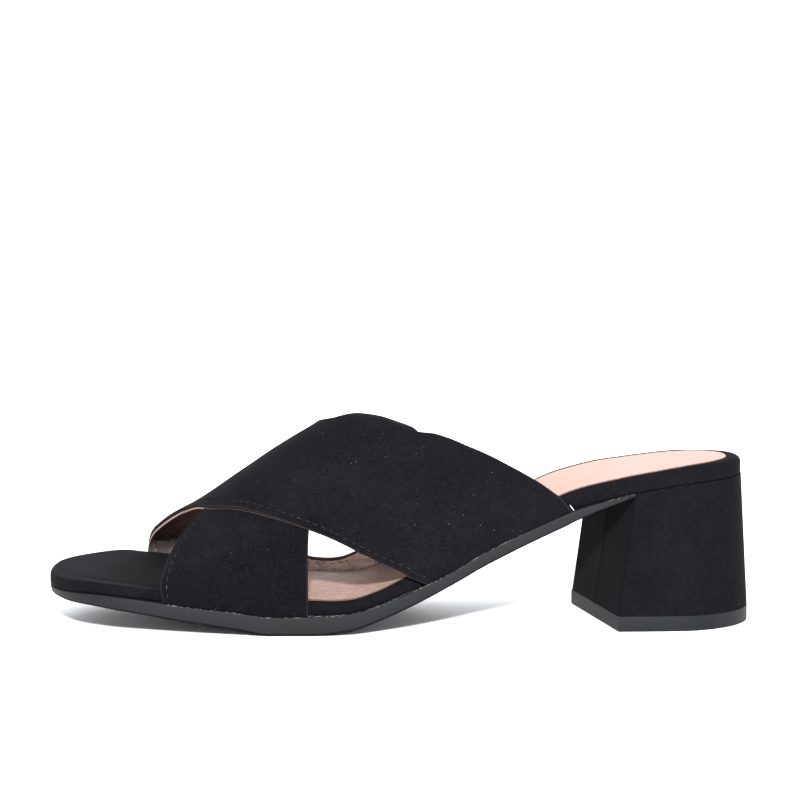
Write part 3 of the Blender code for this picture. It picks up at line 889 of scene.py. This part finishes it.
# %% [markdown]
# ## Sock lining
# A sheet of peach leather is glued on the insole from under the straps to the heel. A rim of
# suede about two millimetres wide is left bare round it, and a wider one at the back. The padding
# gives under the sheet, so only a hair of it stands proud. Its slab is thin, and its edge mark
# runs from 0 on the cut to 1 on the face.

# %% Sock lining
SOCK_PROUD = 0.15
SOCK_SUNK = 0.15
SOCK_TURN = 0.05
SOCK_RIM = 2.2              # suede that is left bare round the sheet
SOCK_BACK_RIM = 2.6         # and what is added to it at the back
SOCK_RIM_GROWS = 200.0      # station from which the rim widens
SOCK_FRONT = 58.0           # station where the sheet starts, under the straps


def sock_rim(point):
    back = smooth_step((point.x - SOCK_RIM_GROWS) / (LAST_LENGTH - SOCK_RIM_GROWS))
    return insole_inset(point) + SOCK_RIM + SOCK_BACK_RIM * back


def make_sock():
    stations = [station for station in last_stations() if station > SOCK_FRONT]
    outline = pulled_in(closed_outline(stations, last_point), sock_rim)
    skin = slab(
        outline,
        lambda p: insole_top(height_station(p)) + SOCK_PROUD,
        lambda p: insole_top(height_station(p)) - SOCK_SUNK,
        top_radius=always(SOCK_PROUD),
        low_radius=always(SOCK_TURN),
        marks=(0.0, 0.7, 1.0),
    )
    return link("leather_sock_lining", skin, sock_leather, "lining_leather", "sock_lining")


sock = make_sock()

# %% [markdown]
# ## How the straps are cut
# Both straps are pulled over the last, so each is a band of its surface between two edges. A
# strap's table gives its front and rear edge from one end to the other, as stations and girths. A
# low band joins the feet of both straps on the inner side; its front edge is the one at the top.

# %% How the straps are cut
Cut = namedtuple("Cut", "front front_girth rear rear_girth")
OVER_STRAP = (
    Cut(129.0, -1.00, 176.0, -1.00),
    Cut(121.5, -0.883, 172.0, -0.89),
    Cut(107.0, -0.767, 165.5, -0.715),
    Cut(90.6, -0.665, 155.5, -0.51),
    Cut(76.2, -0.545, 143.5, -0.30),
    Cut(65.3, -0.42, 130.5, -0.125),
    Cut(57.0, -0.315, 119.0, -0.14),
    Cut(51.5, -0.19, 108.0, -0.14),
    Cut(47.6, -0.07, 99.5, -0.12),
    Cut(42.6, 0.09, 94.0, -0.04),
    Cut(36.2, 0.26, 91.3, 0.13),
    Cut(32.2, 0.42, 89.6, 0.34),
    Cut(30.0, 0.60, 86.8, 0.57),
    Cut(28.7, 0.77, 83.5, 0.76),
    Cut(28.3, 0.90, 80.0, 0.91),
    Cut(28.2, 1.00, 79.0, 1.00),
)
UNDER_STRAP = (
    Cut(43.0, -1.00, 90.2, -1.00),
    Cut(42.4, -0.88, 90.2, -0.88),
    Cut(43.2, -0.755, 90.2, -0.77),
    Cut(44.8, -0.635, 90.5, -0.65),
    Cut(47.2, -0.50, 92.0, -0.52),
    Cut(51.0, -0.365, 96.0, -0.39),
    Cut(56.0, -0.24, 104.0, -0.26),
    Cut(62.0, -0.11, 115.0, -0.145),
    Cut(68.6, 0.03, 122.0, -0.03),
    Cut(76.5, 0.20, 126.0, 0.15),
    Cut(84.5, 0.38, 131.5, 0.34),
    Cut(92.5, 0.55, 139.5, 0.53),
    Cut(101.5, 0.72, 149.5, 0.71),
    Cut(111.0, 0.88, 158.0, 0.88),
    Cut(116.0, 1.00, 162.0, 1.00),
)
LOW_BAND = (
    Cut(118, 0.760, 118, 0.985),
    Cut(110, 0.810, 110, 0.985),
    Cut(104, 0.845, 104, 0.985),
    Cut(98, 0.862, 98, 0.985),
    Cut(94, 0.865, 94, 0.985),
    Cut(88, 0.860, 88, 0.985),
    Cut(82, 0.830, 82, 0.985),
    Cut(76, 0.780, 76, 0.985),
)


def strap_ends(cuts):
    """Both edges of a strap, as station and girth, at a share of its length."""
    Numbered = namedtuple("Numbered", "station front front_girth rear rear_girth")
    numbered = [Numbered(number, *cut) for number, cut in enumerate(cuts)]
    columns = [curve(numbered, column) for column in Cut._fields]

    def ends(share):
        front, front_girth, rear, rear_girth = (column(share * (len(cuts) - 1)) for column in columns)
        return Vector((front, front_girth)), Vector((rear, rear_girth))

    return ends


print("the upper strap's foot reaches from station", OVER_STRAP[0].front, "to", OVER_STRAP[0].rear)

# %% [markdown]
# ## The straps' surface
# The section across the foot is a superellipse that leans to the inner side and turns down the
# sides of the insole. The upper strap rides over the lower one, and comes down off it within a
# short stretch.

# %% The straps' surface
STRAP_LEDGE = 0.8          # how far a strap's outer face stands in from the outsole's edge
WALL = 2.0                 # suede and lining together
SIDE_WALL = 0.9            # girth at which a strap turns down the side of the insole
SECTION_POWER = 2.2        # a little fuller than an ellipse
STRAP_OVERLAP = 0.4        # how deep the upper strap is sunk into the lower one
STRAP_REACH = 22.0         # stretch over which it comes down off the lower one


def form_point(station, girth, lift):
    """A point of the last, raised by a lift off its surface."""
    turn = min(abs(girth) / SIDE_WALL, 1.0) * pi / 2
    side = -1 if girth < 0 else 1
    width = outer_width(station) if girth < 0 else inner_width(station)
    lean = ridge_side(station)
    reach = width - STRAP_LEDGE - WALL + lift - side * lean
    across = lean + side * reach * sin(turn) ** (2 / SECTION_POWER)
    foot = height_station(Vector((station, across)))
    bed = insole_top(foot)
    rise = ridge_height(station) + lift - bed
    height = bed + rise * max(cos(turn), 0.0) ** (2 / SECTION_POWER)
    wall = max(0.0, (abs(girth) - SIDE_WALL) / (1 - SIDE_WALL))
    height -= wall * (bed - sole_top(foot))
    return placed(station, across, height)


under_front = curve(UNDER_STRAP, "front", at="front_girth")
under_rear = curve(UNDER_STRAP, "rear", at="rear_girth")


def crossing_share(station, girth):
    """1 where the upper strap lies on the lower one, fading to 0 beside it."""
    beside = max(under_front(girth) - station, station - under_rear(girth), 0.0)
    return smooth_step(1 - beside / STRAP_REACH)


print("ridge at the crossing:", round(ridge_height(105), 1), "mm")

# %% [markdown]
# ## Straps: suede outside, leather inside
# A strap is two layers that are stitched together along its front edge. Each layer is a grid that
# is laid on the last, thickened with a Solidify modifier and softened with a Bevel modifier, which
# follows the curved edge better than extruded strips would. The suede is the thicker layer, with
# a rolled edge. The lining stops just short of it and shows as a pale line in the mouth. The low
# band is made in the same way, a little thinner, so that its ends hide inside both straps, and is
# lined with a much paler copy of the sock's leather: painted light, for a band that stands in shade.

# %% Straps
LINING_WALL = 0.62
LINING_SET_BACK = 0.12      # how far the lining stops short of the suede's edge
LAYERS_SUNK = 0.03          # how deep the layers are pressed into each other
SUEDE_ROLL = 0.55           # width of the rolled edge
BAND_ROLL = 0.35
LINING_ROLL = 0.12
ROLL_STEPS = 3
ROLLED = radians(50)        # edges that turn further than this are rolled
OVER_LIFT = WALL - STRAP_OVERLAP
Layer = namedtuple("Layer", "base wall roll set_back")
Strap = namedtuple("Strap", "name cuts over sunk seam rows columns")
STRAPS = (
    Strap("over_strap", OVER_STRAP, over=OVER_LIFT, sunk=0.0, seam=2.9, rows=190, columns=56),
    Strap("under_strap", UNDER_STRAP, over=0.0, sunk=0.0, seam=2.05, rows=190, columns=56),
    Strap("low_band", LOW_BAND, over=0.0, sunk=0.2, seam=2.0, rows=70, columns=24),
)


def strap_lift(over, base):
    """How far a face stands off the last."""
    return lambda station, girth: base + over * crossing_share(station, girth)


def strap_layer(strap, kind, layer, material, slot):
    """One layer of a strap. Its vertices know how far they are, in millimetres, from the front
    edge ("edge"), from the stitch row ("seam") and from the nearer of both edges ("rim")."""
    ends_at = strap_ends(strap.cuts)
    lift = strap_lift(strap.over, layer.base)
    band = bmesh.new()
    edge = band.verts.layers.float.new("edge")
    seam = band.verts.layers.float.new("seam")
    rim = band.verts.layers.float.new("rim")
    bmesh.ops.create_grid(band, x_segments=strap.rows, y_segments=strap.columns, size=0.5)
    rows = {}
    for vertex in band.verts:
        row = round((vertex.co.x + 0.5) * strap.rows)
        rows.setdefault(row, {})[round((vertex.co.y + 0.5) * strap.columns)] = vertex
    for number, row in rows.items():
        ends = ends_at(number / strap.rows)
        rough_width = (form_point(*ends[0], 0.0) - form_point(*ends[1], 0.0)).length / MM
        trim = layer.set_back / rough_width
        walked = 0.0
        for column in range(strap.columns + 1):
            share = trim + (1 - 2 * trim) * column / strap.columns
            station, girth = ends[0].lerp(ends[1], share)
            vertex = row[column]
            vertex.co = form_point(station, girth, lift(station, girth))
            if column:
                walked += (vertex.co - row[column - 1].co).length / MM
            vertex[edge] = walked
            vertex[seam] = abs(walked - strap.seam)
        for column in range(strap.columns + 1):
            row[column][rim] = min(row[column][edge], walked - row[column][edge])
    bmesh.ops.reverse_faces(band, faces=band.faces)
    piece = link(f"{strap.name}_{kind}", band, material, slot)
    wall = piece.modifiers.new("wall", "SOLIDIFY")
    wall.thickness = layer.wall * MM
    wall.offset = 1.0
    roll = piece.modifiers.new("roll", "BEVEL")
    roll.width = layer.roll * MM
    roll.segments = ROLL_STEPS
    roll.limit_method = "ANGLE"
    roll.angle_limit = ROLLED
    return piece


def make_straps():
    """Every strap in two layers. The upper strap's suede stands for the CAD's joined solid."""
    pieces = []
    for strap in STRAPS:
        sunk = strap.sunk
        base = LINING_WALL - LAYERS_SUNK
        roll = BAND_ROLL if sunk else SUEDE_ROLL
        outside = Layer(base, WALL - base - sunk, roll, set_back=0.0)
        inside = Layer(sunk, LINING_WALL - sunk, LINING_ROLL, LINING_SET_BACK)
        leather = band_leather_painted_lit if sunk else lining_leather
        pieces.append(strap_layer(strap, "suede", outside, strap_suede, "suede"))
        pieces.append(strap_layer(strap, "lining", inside, leather, "lining_leather"))
    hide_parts("upper_straps")
    return pieces


straps = make_straps()

# %% [markdown]
# ## A drop of cement
# Where the upper strap's rear edge runs down to the outsole, a little cement was squeezed out and
# has dried as a pale, slanting drop. It is a small sphere that is stretched along that edge.

# %% A drop of cement
DROP_LOW = (176.85, 0.15)  # station, and height above the outsole's top edge
DROP_HIGH = (175.3, 2.7)
DROP_WIDTH = 0.36
DROP_INSET = 0.6
CRUST_DARK = (0.34, 0.34, 0.33, 1.0)
CRUST_LIGHT = (0.62, 0.62, 0.60, 1.0)


def mix_cement():
    finish = Finish("dried_cement", {"Specular IOR Level": 0.3})
    crust = finish.noise(0.7, 3.0)
    colour = finish.blend(CRUST_DARK, CRUST_LIGHT, crust)
    return finish.done(colour, 0.6, finish.relief(crust, 0.2))


def make_drop():
    ends = []
    for station, height in (DROP_LOW, DROP_HIGH):
        across = DROP_INSET - outer_width(station)
        ground = sole_top(height_station(Vector((station, across))))
        ends.append(placed(station, across, ground + height))
    along = ends[1] - ends[0]
    width = DROP_WIDTH / 2 * MM
    size = Matrix.Diagonal((width, width, along.length / 2, 1.0))
    turn = along.to_track_quat("Z", "Y").to_matrix().to_4x4()
    matrix = Matrix.Translation((ends[0] + ends[1]) / 2) @ turn @ size
    drop = bmesh.new()
    bmesh.ops.create_icosphere(drop, subdivisions=2, radius=1.0, matrix=matrix)
    return link("cement_drop", drop, mix_cement(), "sole_rubber")


drop = make_drop()

# %% [markdown]
# ## Thread
# The straps are sewn with black waxed thread. Most of it is as dark as the suede, and only here
# and there does a stitch catch the light: that glint is painted into the thread's colour. Inside
# the low band the thread is as pale as the lining, with the same painted glints.

# %% Thread
BLACK_THREAD = ((0.004, 0.004, 0.005, 1.0), (0.07, 0.07, 0.074, 1.0))      # dark, and the painted glint
PALE_THREAD = ((0.26, 0.18, 0.155, 1.0), (0.42, 0.31, 0.275, 1.0))


def mix_thread(name, dark, light):
    finish = Finish(name, {"Specular IOR Level": 0.3})
    twist = finish.noise(0.3, 2.0)
    # the light patches on the thread are painted glints
    wear_and_painted_light = (finish.noise(2.6, 1.0) * 0.8 + twist * 0.4).ramp(0.66, 0.90)
    colour = finish.blend(dark, light, wear_and_painted_light)
    return finish.done(colour, twist * 0.2 + 0.45)


black_thread = mix_thread("waxed_thread", *BLACK_THREAD)
pale_thread = mix_thread("lining_thread", *PALE_THREAD)
print("mixed", black_thread.name, "and", pale_thread.name)

# %% [markdown]
# ## Stitches
# One row of lock stitches holds suede and lining together, two to three millimetres inside each
# front edge. Every stitch is a short grain that dips into the suede at both ends, so a stretched
# sphere of few faces is enough. The row is walked along in small steps, and a stitch is set each
# time that another pitch has been covered.

# %% Stitches
STITCH_PITCH = 2.8
STITCH_LENGTH = 1.8
THREAD = 0.28               # thickness
STITCH_START = 0.035        # share of the strap's length left without stitches at each end
POINTS_PER_STRAP = 380


def stitch_points(strap, face):
    """Places of the stitches along a strap's front edge, on the face this far off the last."""
    ends_at = strap_ends(strap.cuts)
    lift = strap_lift(strap.over, face)
    points = []
    for number in range(POINTS_PER_STRAP + 1):
        ends = ends_at(number / POINTS_PER_STRAP)
        width = (form_point(*ends[0], face) - form_point(*ends[1], face)).length / MM
        rim = form_point(*ends[0], lift(*ends[0]))
        share = strap.seam / width
        for _ in range(3):      # homes in on the row's true distance from the edge
            station, girth = ends[0].lerp(ends[1], share)
            point = form_point(station, girth, lift(station, girth))
            share *= strap.seam * MM / max((point - rim).length, 0.1 * MM)
        over_point = form_point(station, girth, lift(station, girth) + 1.0)
        points.append((point, (over_point - point).normalized()))
    return points


def stitch_row(name, strap, face, thread):
    points = stitch_points(strap, face)
    sewn = bmesh.new()
    walked = 0.0
    next_stitch = 0.0
    skipped = int(len(points) * STITCH_START)
    kept = points[skipped:len(points) - skipped]
    for (here, up), (there, _) in zip(kept, kept[1:]):
        if walked >= next_stitch:
            along = (there - here).normalized()
            side = up.cross(along).normalized()
            turn = Matrix((along, side, up)).transposed().to_4x4()
            size = Matrix.Diagonal((STITCH_LENGTH / 2, THREAD / 2, THREAD / 2, 1.0))
            matrix = Matrix.Translation(here) @ turn @ size
            bmesh.ops.create_uvsphere(sewn, u_segments=6, v_segments=5, radius=MM, matrix=matrix)
            next_stitch += STITCH_PITCH
        walked += (there - here).length / MM
    return link(name, sewn, thread, "suede")


stitches = [stitch_row(f"{s.name}_stitches", s, WALL - s.sunk, black_thread) for s in STRAPS]
low_band = STRAPS[-1]
stitches.append(stitch_row("low_band_inner_stitches", low_band, low_band.sunk, pale_thread))

# %% [markdown]
# ## The heel's plan
# At the top the heel follows the insole, and at the foot the top piece, a little further back.
# The breast, its flat front, is sheared at the top and again at the foot, and leans forward.

# %% The heel's plan
FOOT_SKEW = 5.4            # the shear of the breast at its foot
BREAST_LEAN = 4.6          # its foot stands this far forward of its top
HEEL_FOOT_CAP = (27.0, 1.87)
CORNER = 1.3
HeelFoot = namedtuple("HeelFoot", "station outer inner")
HEEL_FOOT = (
    HeelFoot(180, 28.6, 25.4),
    HeelFoot(200, 27.9, 25.8),
    HeelFoot(220, 26.8, 26.0),
    HeelFoot(241, 26.0, 26.0),
)
heel_foot_outer = curve(HEEL_FOOT, "outer")
heel_foot_inner = curve(HEEL_FOOT, "inner")


def heel_foot_point(station, side):
    """Plan of the heel's foot."""
    share = skew(station) / BREAST_SKEW
    back = TOTAL_LENGTH - LAST_LENGTH
    travel = smooth_step((station - BREAST_STATION) / (LAST_LENGTH - BREAST_STATION))
    station = station - share * (side * FOOT_SKEW + BREAST_LEAN) + back * travel
    width = heel_foot_outer(station) if side < 0 else heel_foot_inner(station)
    return station, side * width * cap_share(TOTAL_LENGTH - station, HEEL_FOOT_CAP)


def heel_outline(point):
    """The plan of the heel from its breast back."""
    behind = [station for station in last_stations() if station > BREAST_STATION + 2 * CORNER]
    return closed_outline([BREAST_STATION] + behind, point)


print("heel foot", round(heel_foot_outer(215) + heel_foot_inner(215), 1), "mm wide")

# %% [markdown]
# ## Heel
# The heel is a block covered with suede. The cover is one strip that is wrapped round and meets
# in the middle of the breast in a butt seam. The outline gets extra points there: two rounded
# corners and a small notch between them. The skin is drawn up from the foot's outline to the
# seat's, and closed at both ends.

# %% Heel
TOP_PIECE = 5.1
HEEL_LEVELS = 16
HEEL_FACE_STEPS = 5
CORNER_STEPS = 5
BREAST_STEPS = 11
SEAM_WIDTH = 0.45
SEAM_DEPTH = 0.5
SEAM_LIP = 0.08            # how far the cover swells beside the seam


def with_breast(outline):
    """The outline with rounded front corners and a seam notch in the middle of the breast."""
    outer, inner = outline[0], outline[-1]
    middle = (outer + inner) / 2
    inward = (outline[1] - outer).normalized()
    halves = []
    for corner, beside in ((outer, outline[1]), (inner, outline[-2])):
        along = (middle - corner).normalized()
        down = (beside - corner).normalized()
        turned = []
        for t in spread(0.0, 1.0, CORNER_STEPS + 1):
            turned.append(corner + down * CORNER * (1 - t) ** 2 + along * CORNER * t * t)
        by_seam = middle - along * SEAM_WIDTH * 2
        run = [turned[-1].lerp(by_seam, t) for t in spread(0.0, 1.0, BREAST_STEPS + 1)[1:]]
        lip = [middle - along * SEAM_WIDTH - inward * SEAM_LIP, middle - along * SEAM_WIDTH * 0.3]
        halves.append(turned + run + lip + [middle + inward * SEAM_DEPTH])
    return halves[0][::-1] + outline[1:-1] + halves[1]


def heel_seat_height(point):
    return sole_top(height_station(point)) + LIFTED


def make_heel():
    seat = with_breast(pulled_in(heel_outline(last_point), HEEL_SEAT_INSET))
    foot = with_breast(heel_outline(heel_foot_point))
    low_ring = on_surface(foot, always(TOP_PIECE))
    high_ring = on_surface(seat, heel_seat_height)
    rings = []
    for share in spread(0.0, 1.0, HEEL_LEVELS + 1):
        pairs = zip(low_ring.points, high_ring.points)
        rings.append(Ring([low.lerp(high, share) for low, high in pairs], 0.0))
    for share in spread(0.0, 1.0, HEEL_FACE_STEPS + 1)[1:]:
        rings.insert(0, on_surface(drawn_in(foot, share), always(TOP_PIECE)))
        rings.append(on_surface(drawn_in(seat, share), heel_seat_height))
    return link("covered_heel", drawn_out(rings), suede, "suede", "heel_block")


heel = make_heel()

# %% [markdown]
# ## Top piece
# The heel stands on a flat piece of rubber that a cobbler can replace. It is the plan of the
# heel's foot, with a crisp upper edge and a lower edge that is a little rounded by walking.

# %% Top piece
TOP_PIECE_RIM = 0.15
TOP_PIECE_WEAR = 0.35


def make_top_piece():
    skin = slab(
        heel_outline(heel_foot_point),
        always(TOP_PIECE),
        always(0.0),
        top_radius=always(TOP_PIECE_RIM),
        low_radius=always(TOP_PIECE_WEAR),
    )
    return link("rubber_top_piece", skin, rubber, "sole_rubber", "heel_top_piece")


top_piece = make_top_piece()

# %% [markdown]
# ## Floor
# The shoe stands on a plain white sheet that is wide enough to fill every view.

# %% Floor
FLOOR_HALF = 12.0          # metres
PAPER_DARK = (0.90, 0.90, 0.91, 1.0)
PAPER_LIGHT = (0.92, 0.92, 0.93, 1.0)


def mix_paper():
    finish = Finish("white_paper", {"Specular IOR Level": 0.1})
    fibre = finish.noise(3.0, 2.0)
    return finish.done(finish.blend(PAPER_DARK, PAPER_LIGHT, fibre), fibre * 0.05 + 0.9)


def make_floor():
    sheet = bmesh.new()
    bmesh.ops.create_grid(sheet, x_segments=1, y_segments=1, size=FLOOR_HALF)
    mesh = bpy.data.meshes.new("floor")
    sheet.to_mesh(mesh)
    sheet.free()
    mesh.materials.append(mix_paper())
    floor = bpy.data.objects.new("floor", mesh)
    bpy.context.scene.collection.objects.link(floor)
    print("floor", 2 * FLOOR_HALF, "m wide")
    return floor


floor = make_floor()
